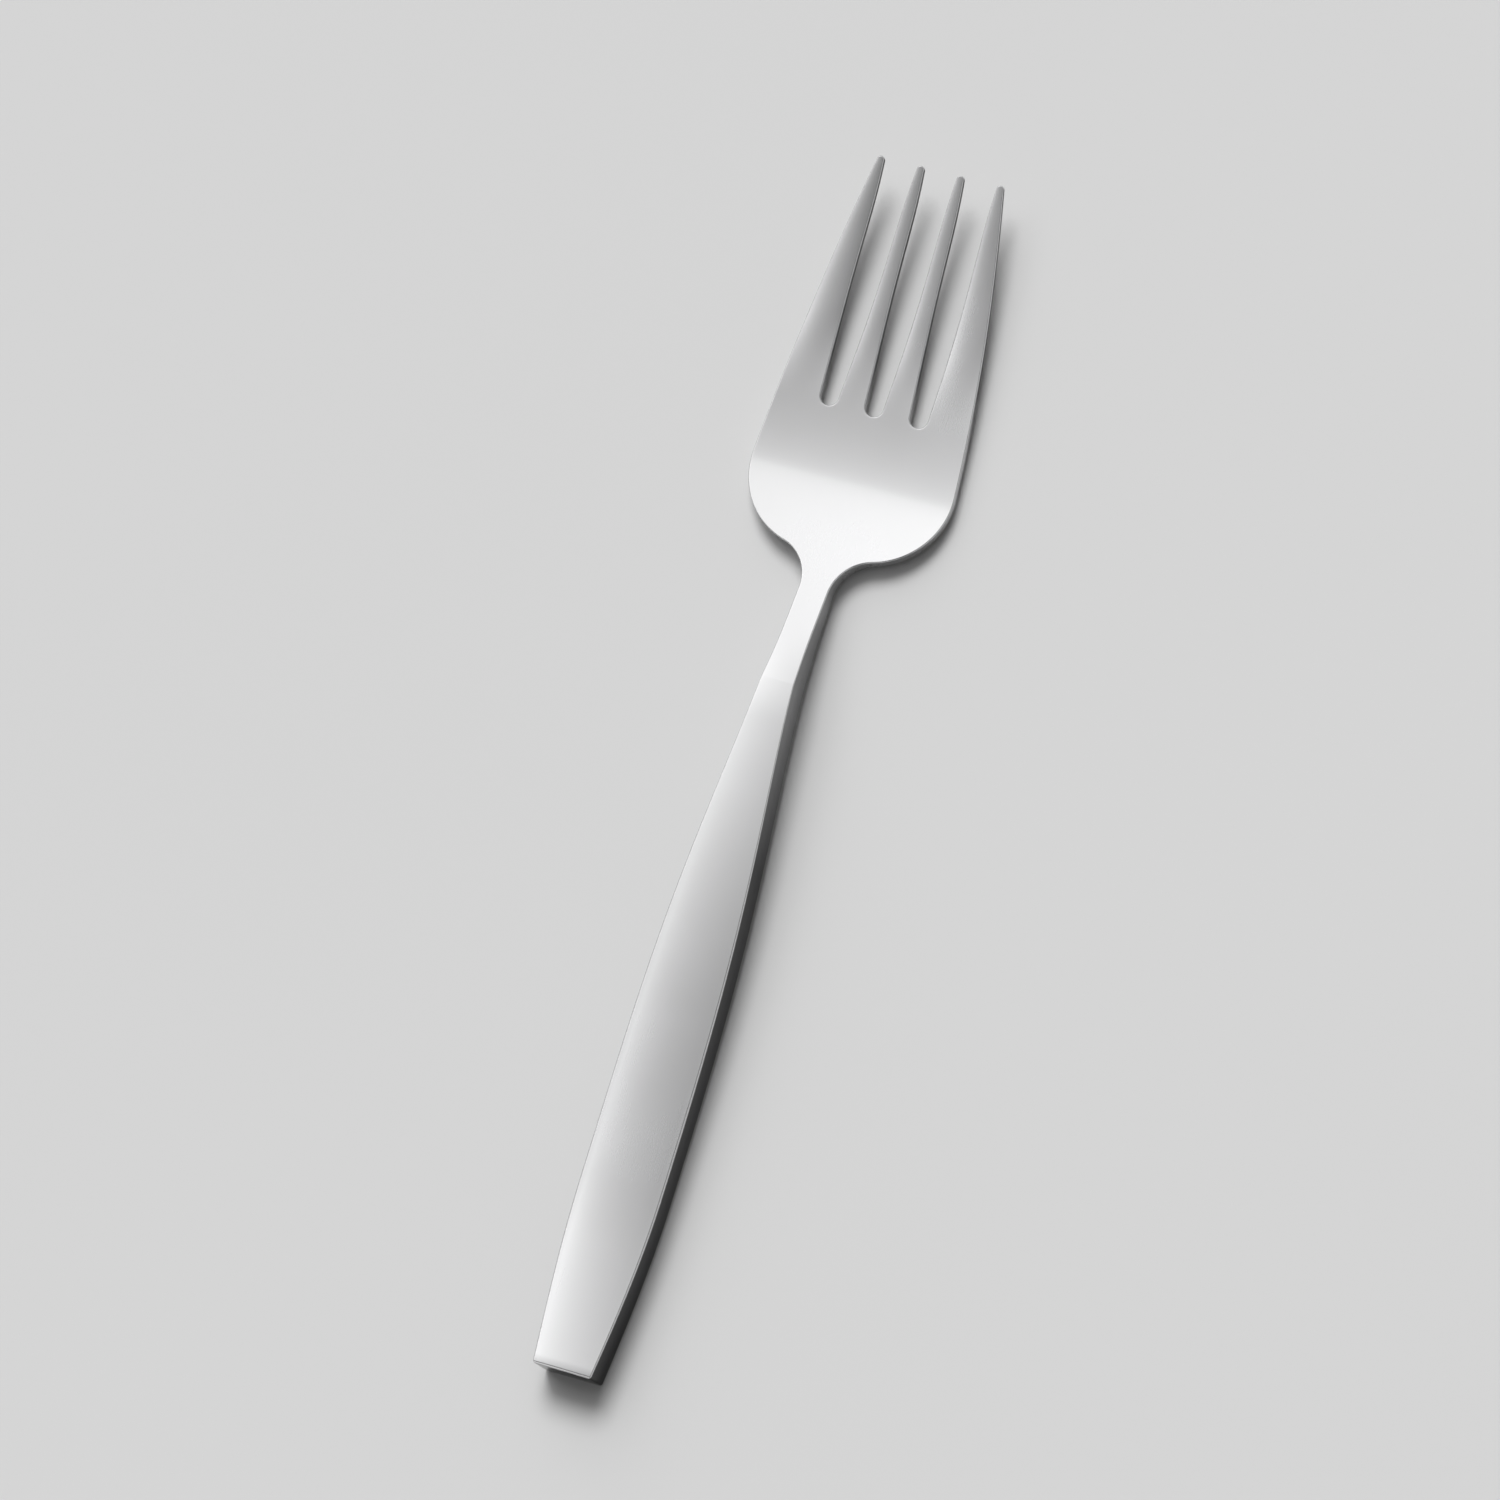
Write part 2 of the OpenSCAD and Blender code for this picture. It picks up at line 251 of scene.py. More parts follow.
def across(half):
    return [mix(half, -half, i / CROWN_STEPS) for i in range(1, CROWN_STEPS)]


def half_loop(x, side, middle):
    """Points from the left seam to the right seam: the left side, the middle and the side mirrored."""
    mirrored = [(-y, z) for y, z in reversed(side)]
    return [(x, y, z) for y, z in side + middle + mirrored]


def upper_loop(x, inset):
    half = half_width(x) - inset
    edge = underside(x) + thickness(x) - inset
    radius = rounding(x, EDGE_RADIUS, inset)
    inner = half - radius

    def crown(y):
        return edge + (half * half - y * y) / (2 * CROWN_RADIUS)

    corner = arc((inner, crown(inner) - radius), radius, 0, math.pi / 2, CORNER_STEPS)
    return half_loop(x, [(half, seam(x))] + corner, [(y, crown(y)) for y in across(inner)])


def lower_loop(x, inset):
    half = half_width(x) - inset
    sole = underside(x) + inset
    radius = rounding(x, SOLE_EDGE_RADIUS, inset)
    inner = half - radius
    corner = arc((inner, sole + radius), radius, 0, -math.pi / 2, CORNER_STEPS)
    return half_loop(x, [(half, seam(x))] + corner, [(y, sole) for y in across(inner)])


def shell_loops(section):
    """Outer and inner loops of a shell, from the butt end to the joint."""
    first_x = max(BUTT_RADIUS, SHELL_WALL)
    even = [mix(first_x, JOINT_X, i / HANDLE_STEPS) for i in range(1, HANDLE_STEPS + 1)]
    angles = [math.pi / 2 * i / BUTT_STEPS for i in range(BUTT_STEPS + 1)]
    butt = [(BUTT_RADIUS * (1 - math.cos(a)), BUTT_RADIUS * (1 - math.sin(a))) for a in angles]
    outer = [section(x, inset) for x, inset in butt] + [section(x, 0) for x in even]
    inner = [section(x, SHELL_WALL) for x in [SHELL_WALL] + even]
    return outer, inner


def add_seam(shape, out, inside):
    """Flat faces where one shell lies on the other."""
    left = [row[0] for row in out]
    right = [row[-1] for row in out]
    end = right[:BUTT_STEPS + 1] + [inside[0][-1], inside[0][0]] + left[BUTT_STEPS::-1]
    shape.face(end, True)
    for i in range(len(inside) - 1):
        k = i + BUTT_STEPS
        shape.face([left[k], inside[i][0], inside[i + 1][0], left[k + 1]], True)
        shape.face([inside[i][-1], right[k], right[k + 1], inside[i + 1][-1]], True)


def shell(name, section, turn):
    """Closed half of the handle. With turn, its faces are reversed, as the upper half needs."""
    outer, inner = shell_loops(section)
    shape = Shape()
    out = [[shape.point(p) for p in loop] for loop in outer]
    inside = [[shape.point(p) for p in loop] for loop in inner]
    for a, b in zip(out, out[1:]):
        shape.strip(a, b)
    for a, b in zip(inside, inside[1:]):
        shape.strip(b, a)
    shape.face(out[0], True)
    shape.face(inside[0][::-1], True)
    for j in range(len(out[0]) - 1):
        shape.face([out[-1][j], inside[-1][j], inside[-1][j + 1], out[-1][j + 1]], True)
    add_seam(shape, out, inside)
    if turn:
        shape.faces = [face[::-1] for face in shape.faces]
    obj = shape.to_object(name)
    obj.data.set_sharp_from_angle(angle=math.radians(SHARP_ANGLE))
    return obj


# Outline of the head, from the left joint corner round the tines to the right joint corner
NECK_STEPS = 24
WAIST_STEPS = 4
FILLET_STEPS = 20
SHOULDER_STEPS = 44
SIDE_STEPS = 60
SLOT_STEPS = 44
SLOT_ARC_STEPS = 24
TIP_ARC_STEPS = 14


def circle_meet(p, p_radius, q, q_radius):
    gap = math.hypot(q[0] - p[0], q[1] - p[1])
    along = (gap ** 2 + p_radius ** 2 - q_radius ** 2) / (2 * gap)
    aside = math.sqrt(p_radius ** 2 - along ** 2)
    way = ((q[0] - p[0]) / gap, (q[1] - p[1]) / gap)
    return (p[0] + along * way[0] + aside * way[1], p[1] + along * way[1] - aside * way[0])


def bearing(p, q):
    return math.atan2(q[1] - p[1], q[0] - p[0])


FILLET_Y = NECK_WIDTH / 2 + FILLET_RADIUS
FILLET_X = BOWL_X - math.sqrt((SHOULDER_RADIUS + FILLET_RADIUS) ** 2 - (SHOULDER_Y - FILLET_Y) ** 2)
FILLET_CENTRE = (FILLET_X, FILLET_Y)
SHOULDER_CENTRE = (BOWL_X, SHOULDER_Y)
FILLET_BEARING = bearing(FILLET_CENTRE, SHOULDER_CENTRE)
OUTER_CORNER = (MOUTH_X, OUTER_TIP_Y + TIP_RADIUS)
SIDE_CENTRE = circle_meet(SHOULDER_CENTRE, SIDE_RADIUS - SHOULDER_RADIUS, OUTER_CORNER, SIDE_RADIUS)
SIDE_FROM = bearing(SIDE_CENTRE, SHOULDER_CENTRE)
SIDE_TO = bearing(SIDE_CENTRE, OUTER_CORNER)


def slot_rank(i):
    """Place of the slot on the right of tine i, counted from the middle."""
    return (TINE_COUNT - 2) / 2 - i


def slot_half(x):
    if x < SLOT_X:
        return math.sqrt(max(0.0, SLOT_RADIUS ** 2 - (x - SLOT_X) ** 2))
    part = clamp((x - SLOT_X) / (MOUTH_X - SLOT_X))
    swell = TINE_SWELL * math.sin(math.pi * part ** SWELL_SKEW)
    return mix(SLOT_RADIUS, MOUTH_HALF, math.sin(math.pi / 2 * part)) - swell


def slot_middle(rank, x):
    return rank * mix(SLOT_PITCH, TIP_PITCH, clamp((x - SLOT_X) / (MOUTH_X - SLOT_X)))


def outer_edge(x):
    return SIDE_CENTRE[1] + math.sqrt(SIDE_RADIUS ** 2 - (x - SIDE_CENTRE[0]) ** 2)


def head_side():
    neck = [mix(JOINT_X, WAIST_X, i / NECK_STEPS) for i in range(NECK_STEPS)]
    waist = [mix(WAIST_X, FILLET_X, i / WAIST_STEPS) for i in range(WAIST_STEPS)]
    fillet = arc(FILLET_CENTRE, FILLET_RADIUS, -math.pi / 2, FILLET_BEARING, FILLET_STEPS)
    shoulder = arc(SHOULDER_CENTRE, SHOULDER_RADIUS, FILLET_BEARING + math.pi, SIDE_FROM, SHOULDER_STEPS)
    side = arc(SIDE_CENTRE, SIDE_RADIUS, SIDE_FROM, SIDE_TO, SIDE_STEPS)
    straight = [(x, half_width(x)) for x in neck] + [(x, NECK_WIDTH / 2) for x in waist]
    return straight + fillet + shoulder[1:] + side[1:-1]


def slot_outline(rank):
    xs = [mix(SLOT_X, MOUTH_X, i / SLOT_STEPS) for i in range(1, SLOT_STEPS)]
    left = [(x, slot_middle(rank, x) + slot_half(x)) for x in reversed(xs)]
    bottom = arc((SLOT_X, rank * SLOT_PITCH), SLOT_RADIUS, math.pi / 2, 1.5 * math.pi, SLOT_ARC_STEPS)
    right = [(x, slot_middle(rank, x) - slot_half(x)) for x in xs]
    return left + bottom + right


def head_outline():
    side = head_side()
    points = list(side)
    for i in range(TINE_COUNT):
        y = OUTER_TIP_Y - i * TIP_PITCH
        points += arc((MOUTH_X, y), TIP_RADIUS, math.pi / 2, -math.pi / 2, TIP_ARC_STEPS)
        if i < TINE_COUNT - 1:
            points += slot_outline(slot_rank(i))
    return points + [(x, -y) for x, y in reversed(side)]


def outward(points):
    """Normals of the outline, square to the fork's length at the joint."""
    normals = []
    last = len(points) - 1
    for i in range(len(points)):
        a = points[max(i - 1, 0)]
        b = points[min(i + 1, last)]
        run = math.hypot(b[0] - a[0], b[1] - a[1])
        normals.append(((a[1] - b[1]) / run, (b[0] - a[0]) / run))
    normals[0] = (0.0, 1.0)
    normals[last] = (0.0, -1.0)
    return normals


# Faces of the head
SLOPE_STEP = 0.05
ROUND_STEPS = 6
GRID = 0.8
GRID_GAP = 0.35
TINY = 1e-12
# Settings of the triangulation: keep what lies inside the edges, and join points this close
INSIDE_EDGES = 1
JOIN_GAP = 1e-6


def tine_edges(x, i):
    left, right = outer_edge(x), -outer_edge(x)
    if i > 0:
        left = slot_middle(slot_rank(i - 1), x) - slot_half(x)
    if i < TINE_COUNT - 1:
        right = slot_middle(slot_rank(i), x) + slot_half(x)
    return left, right


def tine_place(x, y):
    """Half width of the tine at x, and the place of y across it from -1 to 1."""
    for i in range(TINE_COUNT):
        left, right = tine_edges(x, i)
        if y >= right - TIP_RADIUS or i == TINE_COUNT - 1:
            half = (left - right) / 2
            return half, clamp((y - (left + right) / 2) / half, -1.0, 1.0)


def tine_drop(x, y):
    if x <= APEX_X:
        return 0.0
    half, v = tine_place(x, y)
    return ease((x - APEX_X) / CROWN_RUN) * TINE_CROWN * half * v * v


def dish(z, y, radius):
    return radius - math.sqrt((radius - z) ** 2 - y * y)


def top_z(x, y):
    z = underside(x) + thickness(x)
    handle = 1 - ease((x - JOINT_X) / CROWN_FADE)
    crown = handle * (half_width(x) ** 2 - y * y) / (2 * CROWN_RADIUS)
    return mix(dish(z, y, TOP_DISH_RADIUS), z, handle) + crown - tine_drop(x, y)


def bottom_z(x, y):
    return dish(underside(x), y, DISH_RADIUS)


def face_normal(height, x, y):
    step = SLOPE_STEP
    if x - step < JOINT_X:
        dx = (height(x + step, y) - height(x, y)) / step
    else:
        dx = (height(x + step, y) - height(x - step, y)) / (2 * step)
    dy = (height(x, y + step) - height(x, y - step)) / (2 * step)
    return Vector((-dx, -dy, 1.0)).normalized()


def edge_radius(x):
    """Rounding of the head's top edge."""
    if x < WAIST_X:
        joint = rounding(JOINT_X, EDGE_RADIUS, 0)
        return mix(joint, HEAD_EDGE, ease((x - JOINT_X) / WAIST_FROM_JOINT))
    return mix(HEAD_EDGE, TIP_EDGE, ease((x - APEX_X) / (TIP_X - APEX_X)))


def back_radius(x):
    """Rounding of the head's bottom edge."""
    if x < SOLE_X:
        joint = rounding(JOINT_X, SOLE_EDGE_RADIUS, 0)
        return mix(joint, BACK_EDGE, ease((x - JOINT_X) / SOLE_FROM_JOINT))
    return mix(BACK_EDGE, TIP_BACK_EDGE, clamp((x - BOWL_X) / (TIP_X - BOWL_X)))


def edge_loops(shape, outline, normals, height, side):
    """Rounded edge from the wall to the face; side is 1 for the top and -1 for the bottom."""
    loops = []
    inner = []
    for step in range(ROUND_STEPS + 1):
        a = math.pi / 2 * step / ROUND_STEPS
        loop = []
        for (x, y), (nx, ny) in zip(outline, normals):
            radius = edge_radius(x) if side > 0 else back_radius(x)
            inset = radius * (1 - math.cos(a))
            px, py = x - nx * inset, y - ny * inset
            z = height(px, py) - side * radius * (1 - math.sin(a))
            face = face_normal(height, px, py) * side
            wall = Vector((nx, ny, 0))
            normal = (wall * math.cos(a) + face * math.sin(a)).normalized()
            loop.append(shape.point((px, py, z), normal))
            if step == ROUND_STEPS:
                inner.append((px, py))
        loops.append(loop)
    return loops, inner


def inside_points(loop):
    """Grid points inside a closed loop, clear of its edge."""
    ring = np.array(loop)
    following = np.roll(ring, -1, axis=0)
    low, high = ring.min(axis=0), ring.max(axis=0)
    xs = np.arange(low[0] + GRID / 2, high[0], GRID)
    ys = np.arange(0, high[1], GRID)
    ys = np.concatenate([-ys[:0:-1], ys])
    grid = np.array([(x, y) for x in xs for y in ys])
    px, py = grid[:, :1], grid[:, 1:]
    ax, ay, bx, by = ring[:, 0], ring[:, 1], following[:, 0], following[:, 1]
    cross = (ay > py) != (by > py)
    rise = np.where(by == ay, TINY, by - ay)
    hit = cross & (px < (bx - ax) * (py - ay) / rise + ax)
    within = hit.sum(axis=1) % 2 == 1
    length = np.maximum((bx - ax) ** 2 + (by - ay) ** 2, TINY)
    part = np.clip(((px - ax) * (bx - ax) + (py - ay) * (by - ay)) / length, 0, 1)
    gap = np.hypot(ax + part * (bx - ax) - px, ay + part * (by - ay) - py).min(axis=1)
    return grid[within & (gap > GRID_GAP)]


def triangles(points, edges):
    """Triangles inside the edges, as places in the list of points, turning left."""
    flat_points = [Vector(p) for p in points]
    _, _, faces, origin, _, _ = delaunay_2d_cdt(flat_points, edges, [], INSIDE_EDGES, JOIN_GAP)
    found = []
    for face in faces:
        i, j, k = [origin[v][0] for v in face]
        a, b, c = flat_points[i], flat_points[j], flat_points[k]
        found.append((i, j, k) if (b - a).cross(c - a) > 0 else (i, k, j))
    return found


def closed(start, count):
    return [(start + i, start + (i + 1) % count) for i in range(count)]


def fill_face(shape, loop, inner, height, side):
    """Triangles of the top or the bottom face inside its rounded edge. Returns its points at the joint."""
    half = inner[0][1]
    count = max(2, round(2 * half / GRID))
    joint = [(JOINT_X, mix(inner[-1][1], half, i / count)) for i in range(1, count)]
    ring = inner + joint
    within = joint + [tuple(p) for p in inside_points(ring)]
    added = [shape.point((x, y, height(x, y)), face_normal(height, x, y) * side) for x, y in within]
    index = loop + added
    for face in triangles(inner + within, closed(0, len(ring))):
        corners = [index[i] for i in face]
        shape.face(corners if side > 0 else corners[::-1])
    return added[:len(joint)]


def tang_edge():
    def side(x):
        return TANG_HALF - TANG_TAPER * (JOINT_X - x) / TANG_LENGTH

    points = [(TANG_X, side(TANG_X))]
    for i in range(1, NOTCH_COUNT + 1):
        x = TANG_X + i * TANG_LENGTH / (NOTCH_COUNT + 1)
        near, far = x - NOTCH_LENGTH / 2, x + NOTCH_LENGTH / 2
        points += [(near, side(near)), (x, side(x) - NOTCH_DEPTH), (far, side(far))]
    return points + [(JOINT_X, TANG_HALF)]


def add_tang(shape):
    """Notched tang with flat faces. Returns its corners at the joint."""
    rows = []
    for x, half in tang_edge():
        low = tang_middle(x) - TANG_THICKNESS / 2
        high = tang_middle(x) + TANG_THICKNESS / 2
        corners = [(x, half, high), (x, -half, high), (x, -half, low), (x, half, low)]
        rows.append([shape.point(p) for p in corners])
    for a, b in zip(rows, rows[1:]):
        for j, k in closed(0, len(a)):
            shape.face([a[j], a[k], b[k], b[j]], True)
    shape.face(rows[0][::-1], True)
    return rows[-1]


def add_joint_face(shape, rim, root):
    """Flat face at the joint round the root of the tang."""
    index = rim + root
    points = [shape.points[i][1:] for i in index]
    edges = closed(0, len(rim)) + closed(len(rim), len(root))
    for face in triangles(points, edges):
        y = sum(points[i][0] for i in face) / 3
        z = sum(points[i][1] for i in face) / 3
        if abs(y) > TANG_HALF or abs(z - tang_middle(JOINT_X)) > TANG_THICKNESS / 2:
            shape.face([index[i] for i in reversed(face)], True)


def head(name):
    shape = Shape()
    outline = head_outline()
    normals = outward(outline)
    top, top_inner = edge_loops(shape, outline, normals, top_z, 1)
    bottom, bottom_inner = edge_loops(shape, outline, normals, bottom_z, -1)
    for a, b in zip(top, top[1:]):
        shape.strip(a, b)
    shape.strip(bottom[0], top[0])
    for a, b in zip(bottom, bottom[1:]):
        shape.strip(b, a)
    over = fill_face(shape, top[-1], top_inner, top_z, 1)
    under = fill_face(shape, bottom[-1], bottom_inner, bottom_z, -1)
    rim = [loop[0] for loop in top] + over[::-1] + [loop[-1] for loop in reversed(top)]
    rim += [loop[-1] for loop in bottom] + under + [loop[0] for loop in reversed(bottom)]
    add_joint_face(shape, rim, add_tang(shape))
    obj = shape.to_object(name)
    shape.set_normals(obj)
    return obj


# Materials. The middle span of the noise goes from the dark shade to the light one.
NOISE_SPAN = (0.3, 0.7)
EVEN = (1, 1, 1)


class Nodes:
    """Node tree of a material or of the light all round."""

    def __init__(self, tree):
        self.tree = tree
        tree.nodes.clear()

    def add(self, kind, **values):
        node = self.tree.nodes.new(kind)
        for name, value in values.items():
            setattr(node, name, value)
        return node

    def link(self, output, target):
        self.tree.links.new(output, target)

    def noise(self, scale, stretch, detail):
        place_node = self.add("ShaderNodeTexCoord")
        mapping = self.add("ShaderNodeMapping")
        mapping.inputs["Scale"].default_value = stretch
        self.link(place_node.outputs["Object"], mapping.inputs["Vector"])
        noise = self.add("ShaderNodeTexNoise")
        noise.inputs["Scale"].default_value = scale
        noise.inputs["Detail"].default_value = detail
        self.link(mapping.outputs["Vector"], noise.inputs["Vector"])
        return noise.outputs["Fac"]

    def ramp(self, value, stops):
        ramp = self.add("ShaderNodeValToRGB")
        elements = ramp.color_ramp.elements
        while len(elements) < len(stops):
            elements.new(0.5)
        for element, (position, colour) in zip(elements, stops):
            element.position = position
            element.color = (*colour, 1)
        self.link(value, ramp.inputs["Fac"])
        return ramp.outputs["Color"]

    def span(self, value, low, high, start=0.0, end=1.0):
        node = self.add("ShaderNodeMapRange")
        node.inputs["From Min"].default_value = start
        node.inputs["From Max"].default_value = end
        node.inputs["To Min"].default_value = low
        node.inputs["To Max"].default_value = high
        self.link(value, node.inputs["Value"])
        return node.outputs["Result"]

    def part(self, kind, output, axis):
        """One axis of a vector output, such as the height of the surface's own normal."""
        parts = self.add("ShaderNodeSeparateXYZ")
        self.link(self.add(kind).outputs[output], parts.inputs["Vector"])
        return parts.outputs[axis]

    def math(self, operation, a, b=0.0):
        node = self.add("ShaderNodeMath", operation=operation)
        for value, target in ((a, node.inputs[0]), (b, node.inputs[1])):
            if isinstance(value, (int, float)):
                target.default_value = value
            else:
                self.link(value, target)
        return node.outputs[0]


def new_material(name):
    material = bpy.data.materials.new(name)
    material.use_nodes = True
    nodes = Nodes(material.node_tree)
    shader = nodes.add("ShaderNodeBsdfPrincipled")
    output = nodes.add("ShaderNodeOutputMaterial")
    nodes.link(shader.outputs["BSDF"], output.inputs["Surface"])
    return material, nodes, shader


def bump(nodes, shader, height, strength, distance):
    node = nodes.add("ShaderNodeBump")
    node.inputs["Strength"].default_value = strength
    node.inputs["Distance"].default_value = distance
    nodes.link(height, node.inputs["Height"])
    nodes.link(node.outputs["Normal"], shader.inputs["Normal"])


# Satin steel: a cloudy tone with a trace of blue, and fine streaks along the fork
STEEL = 0.50
STEEL_SHADES = (0.97, 1.03)
STEEL_BLUES = (1.005, 1.01)
STEEL_ROUGHNESS = (0.22, 0.28)
CLOUD_SCALE = 45
CLOUD_DETAIL = 3
STREAK_SCALE = 1
STREAK_STRETCH = (70, 3500, 3500)
STREAK_DETAIL = 2
STREAK_ROUGHNESS = 0.02
STREAK_STRENGTH = 0.02
STREAK_DEPTH = 0.00002
# Polish and painted shade of the side walls: steepness of a wall as the height of its normal, the painted
# shade that darkens their tone and greys the tint of their edge reflection, what polish does to roughness,
# and the level of both along the fork in millimetres
WALL_STEEPNESS = (0.05, 0.28)
PAINTED_WALL_SHADE = 0.26
PAINTED_WALL_SHADE_TINT = 0.5
POLISH_ROUGHNESS = 0.3
POLISH_AND_SHADE_ALONG = [
    (0.0, 1.0), (80.0, 1.0), (104.0, 0.55), (118.0, 0.5),
    (128.0, 0.0), (150.0, 0.0), (160.0, 1.0), (TIP_X, 1.0),
]


def wall_polish_and_painted_shade(nodes):
    """1 on the polished side walls of handle and tines, which also get painted shade; 0 on satin faces and
    the bowl's rim.
    """
    slope = nodes.math("ABSOLUTE", nodes.part("ShaderNodeNewGeometry", "Normal", "Z"))
    wall = nodes.span(slope, 1.0, 0.0, *WALL_STEEPNESS)
    butt, tip = -MIDDLE_X * MM, (TIP_X - MIDDLE_X) * MM
    along = nodes.span(nodes.part("ShaderNodeTexCoord", "Object", "X"), 0.0, 1.0, butt, tip)
    stops = [(x / TIP_X, (level, level, level)) for x, level in POLISH_AND_SHADE_ALONG]
    return nodes.math("MULTIPLY", wall, nodes.ramp(along, stops))


def satin_steel():
    material, nodes, shader = new_material("satin_steel")
    shader.inputs["Metallic"].default_value = 1.0
    # The mask of the side walls carries their polish and their painted shade
    polish_and_shade = wall_polish_and_painted_shade(nodes)
    cloud = nodes.noise(CLOUD_SCALE, EVEN, CLOUD_DETAIL)
    tones = [STEEL * shade for shade in STEEL_SHADES]
    colours = [(tone, tone, tone * blue) for tone, blue in zip(tones, STEEL_BLUES)]
    colour = nodes.add("ShaderNodeVectorMath", operation="SCALE")
    nodes.link(nodes.ramp(cloud, list(zip(NOISE_SPAN, colours))), colour.inputs["Vector"])
    # Painted shade: the side walls' tone is darkened and their edge reflection tinted grey, besides their
    # lower roughness
    nodes.link(nodes.span(polish_and_shade, 1.0, PAINTED_WALL_SHADE), colour.inputs["Scale"])
    nodes.link(colour.outputs["Vector"], shader.inputs["Base Color"])
    nodes.link(nodes.span(polish_and_shade, 1.0, PAINTED_WALL_SHADE_TINT), shader.inputs["Specular Tint"])
    streak = nodes.noise(STREAK_SCALE, STREAK_STRETCH, STREAK_DETAIL)
    streaked = nodes.span(streak, -STREAK_ROUGHNESS, STREAK_ROUGHNESS)
    rough = nodes.math("ADD", streaked, nodes.span(cloud, *STEEL_ROUGHNESS, *NOISE_SPAN))
    smoother = nodes.span(polish_and_shade, 1.0, POLISH_ROUGHNESS)
    nodes.link(nodes.math("MULTIPLY", rough, smoother), shader.inputs["Roughness"])
    bump(nodes, shader, streak, STREAK_STRENGTH, STREAK_DEPTH)
    return material


# Cement inside the handle
CEMENT_COLOURS = [(0.40, 0.37, 0.33), (0.56, 0.53, 0.48)]
CEMENT_ROUGHNESS = 0.9
GRAIN_SCALE = 900
GRAIN_DETAIL = 5
GRAIN_STRENGTH = 0.4
GRAIN_DEPTH = 0.0002


def cement():
    material, nodes, shader = new_material("cement")
    shader.inputs["Roughness"].default_value = CEMENT_ROUGHNESS
    grain = nodes.noise(GRAIN_SCALE, EVEN, GRAIN_DETAIL)
    nodes.link(nodes.ramp(grain, list(zip(NOISE_SPAN, CEMENT_COLOURS))), shader.inputs["Base Color"])
    bump(nodes, shader, grain, GRAIN_STRENGTH, GRAIN_DEPTH)
    return material


# Pale ground under the fork, with sides of twice FLOOR_HALF metres
FLOOR = 0.601
FLOOR_SHADES = (0.995, 1.005)
FLOOR_ROUGHNESS = 0.9
FLOOR_SPECULAR = 0.1
FLOOR_SCALE = 6
FLOOR_DETAIL = 2
FLOOR_HALF = 4.0


def pale_floor():
    material, nodes, shader = new_material("pale_floor")
    shader.inputs["Roughness"].default_value = FLOOR_ROUGHNESS
    shader.inputs["Specular IOR Level"].default_value = FLOOR_SPECULAR
    cloud = nodes.noise(FLOOR_SCALE, EVEN, FLOOR_DETAIL)
    colours = [(FLOOR * shade,) * 3 for shade in FLOOR_SHADES]
    nodes.link(nodes.ramp(cloud, list(zip(NOISE_SPAN, colours))), shader.inputs["Base Color"])
    return material


def add_floor():
    mesh = bpy.data.meshes.new("floor")
    half = FLOOR_HALF
    corners = [(-half, -half, 0), (half, -half, 0), (half, half, 0), (-half, half, 0)]
    mesh.from_pydata(corners, [], [(0, 1, 2, 3)])
    floor = bpy.data.objects.new("floor", mesh)
    bpy.context.scene.collection.objects.link(floor)
    mesh.materials.append(pale_floor())


# Light all round, as the product of a curve along the fork and one across it. Each curve has pairs of
# the light's direction, from -1 to 1 on that axis, and its level. The ramps hold the levels divided by
# LIGHT_TOP, and their product is scaled back.
LIGHT_TOP = 4.0
LIGHT_LEVEL = 1.2
LIGHT_LEAST = 0.08
LIGHT_ALONG = [
    (-1.0, 0.05), (-0.3, 0.2), (-0.12, 0.37), (-0.06, 0.45), (0.0, 0.47), (0.04, 0.7),
    (0.08, 0.95), (0.12, 1.05), (0.16, 1.21), (0.2, 1.39), (0.24, 1.55), (0.28, 1.63),
    (0.34, 1.65), (0.6, 1.56), (0.75, 1.2), (1.0, 0.8),
]
LIGHT_ACROSS = [
    (-1.0, 0.1), (-0.4, 0.12), (-0.2, 0.35), (-0.05, 0.8), (0.1, 0.83), (0.2, 0.91), (0.3, 1.0),
    (0.4, 1.12), (0.5, 1.31), (0.58, 1.36), (0.66, 0.9), (0.74, 0.25), (1.0, 0.05),
]
# Lamp for the shadows, left out of reflections, and cards that are seen in reflections alone.
# Each has the way to it from the fork, its width as an angle in degrees, and its power.
LAMP_WAY = (0.65, 0.18, 1.0)
LAMP_ANGLE = 26.0
LAMP_POWER = 2.15
CARD_ANGLE = 60.0
CARDS = [
    ("left_card", (0.15, 0.9, 0.45), 0.8),
    ("right_card", (-0.2, -0.9, 0.4), 0.6),
    ("butt_card", (-0.9, 0.1, 0.4), 0.6),
    ("tine_card", (0.7, -0.7, 0.25), 0.5),
    ("rear_card", (-0.7, 0.7, 0.25), 0.4),
]


def add_light():
    world = bpy.data.worlds.new("studio")
    bpy.context.scene.world = world
    world.use_nodes = True
    nodes = Nodes(world.node_tree)

    def curve(axis, levels):
        stops = [((at + 1) / 2, (level / LIGHT_TOP,) * 3) for at, level in levels]
        way = nodes.part("ShaderNodeTexCoord", "Generated", axis)
        return nodes.ramp(nodes.span(way, 0.0, 1.0, -1.0, 1.0), stops)

    product = nodes.math("MULTIPLY", curve("X", LIGHT_ALONG), curve("Y", LIGHT_ACROSS))
    level = nodes.math("MULTIPLY", product, LIGHT_TOP * LIGHT_TOP * LIGHT_LEVEL)
    back = nodes.add("ShaderNodeBackground")
    back.inputs["Color"].default_value = (1, 1, 1, 1)
    nodes.link(nodes.math("MAXIMUM", level, LIGHT_LEAST), back.inputs["Strength"])
    output = nodes.add("ShaderNodeOutputWorld")
    nodes.link(back.outputs["Background"], output.inputs["Surface"])


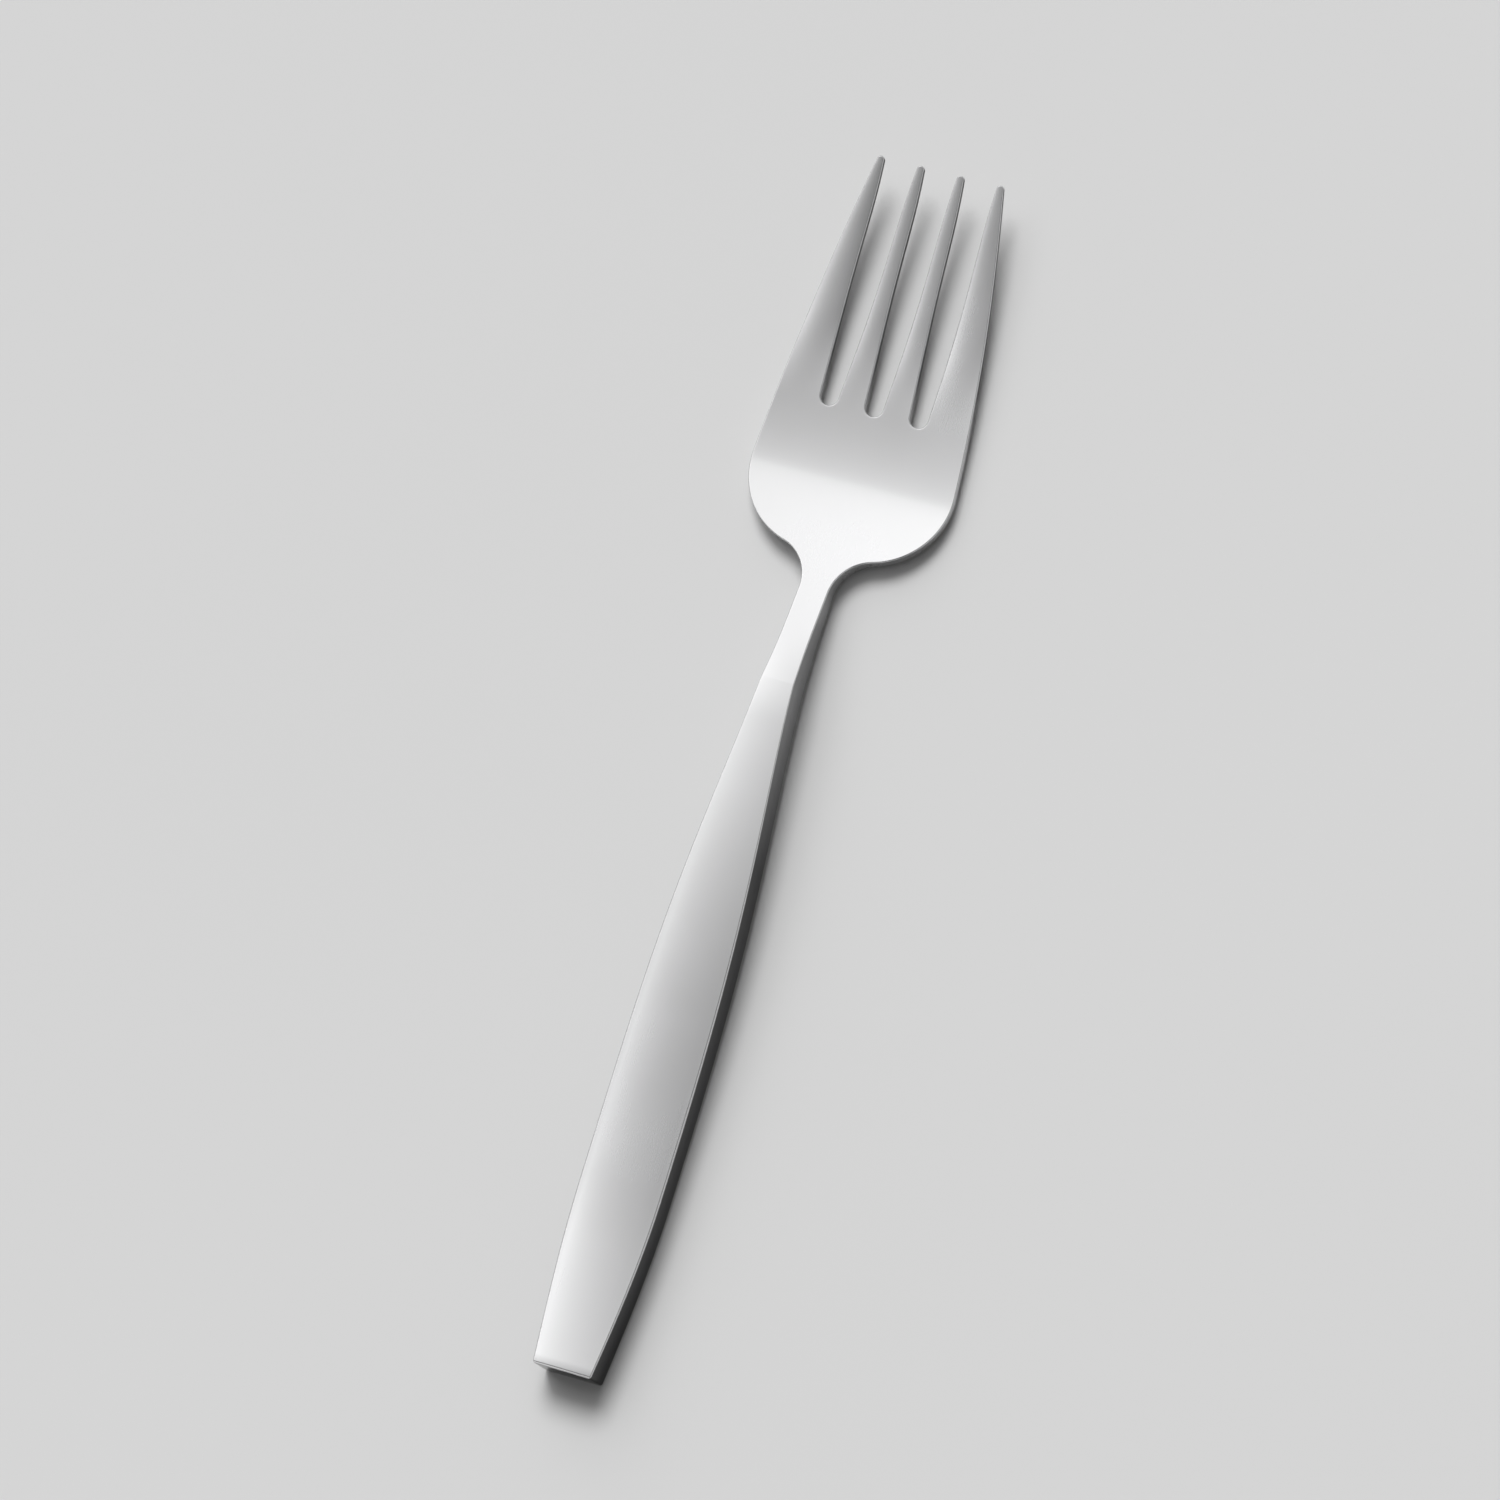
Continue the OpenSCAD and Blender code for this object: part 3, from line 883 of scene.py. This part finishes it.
def add_lamp(name, way, angle, power):
    data = bpy.data.lights.new(name, "SUN")
    data.energy = power
    data.angle = math.radians(angle)
    lamp = bpy.data.objects.new(name, data)
    lamp.rotation_mode = "QUATERNION"
    lamp.rotation_quaternion = Vector(way).to_track_quat("Z", "Y")
    bpy.context.scene.collection.objects.link(lamp)
    return lamp


# Camera, fitted to the photo's edges: angles in degrees, lengths in millimetres, picture places in pixels
ELEVATION = 72.0
AZIMUTH = 62.81
ROLL = -46.47
DISTANCE = 1400.0
PIXELS_PER_MM = 6.6598
PICTURE = 1500.0
AIM = (100.0, 0.0, 4.0)
AIM_PIXEL = (767.77, 739.35)
SENSOR = 36.0


def add_camera():
    e, a, roll = math.radians(ELEVATION), math.radians(AZIMUTH), math.radians(ROLL)
    back = Vector((-math.cos(e) * math.cos(a), -math.cos(e) * math.sin(a), math.sin(e)))
    right = (-back).cross(Vector((0, 0, 1))).normalized()
    up = right.cross(-back)
    x_axis = right * math.cos(roll) + up * math.sin(roll)
    y_axis = up * math.cos(roll) - right * math.sin(roll)
    data = bpy.data.cameras.new("camera")
    data.sensor_width = SENSOR
    data.lens = PIXELS_PER_MM * DISTANCE * SENSOR / PICTURE
    data.shift_x = -(AIM_PIXEL[0] - PICTURE / 2) / PICTURE
    data.shift_y = (AIM_PIXEL[1] - PICTURE / 2) / PICTURE
    camera = bpy.data.objects.new("camera", data)
    bpy.context.scene.collection.objects.link(camera)
    turn = Matrix((x_axis, y_axis, back)).transposed().to_4x4()
    camera.matrix_world = Matrix.Translation(Vector(place(AIM)) + back * DISTANCE * MM) @ turn
    bpy.context.scene.camera = camera


def add_piece(obj, node, material):
    obj.data.materials.append(material)
    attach(obj, "root")
    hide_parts(node)


def dress_filler():
    """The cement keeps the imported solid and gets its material."""
    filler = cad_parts["handle_filler"]
    filler.data.materials.clear()
    filler.data.materials.append(cement())


def main():
    steel = satin_steel()
    add_piece(head("head"), "fork_head", steel)
    add_piece(shell("upper_shell", upper_loop, True), "handle_upper_shell", steel)
    add_piece(shell("lower_shell", lower_loop, False), "handle_lower_shell", steel)
    dress_filler()
    add_floor()
    add_light()
    add_lamp("overhead", LAMP_WAY, LAMP_ANGLE, LAMP_POWER).visible_glossy = False
    for name, way, power in CARDS:
        add_lamp(name, way, CARD_ANGLE, power).visible_diffuse = False
    add_camera()
    bpy.context.scene.view_settings.view_transform = "Standard"


main()
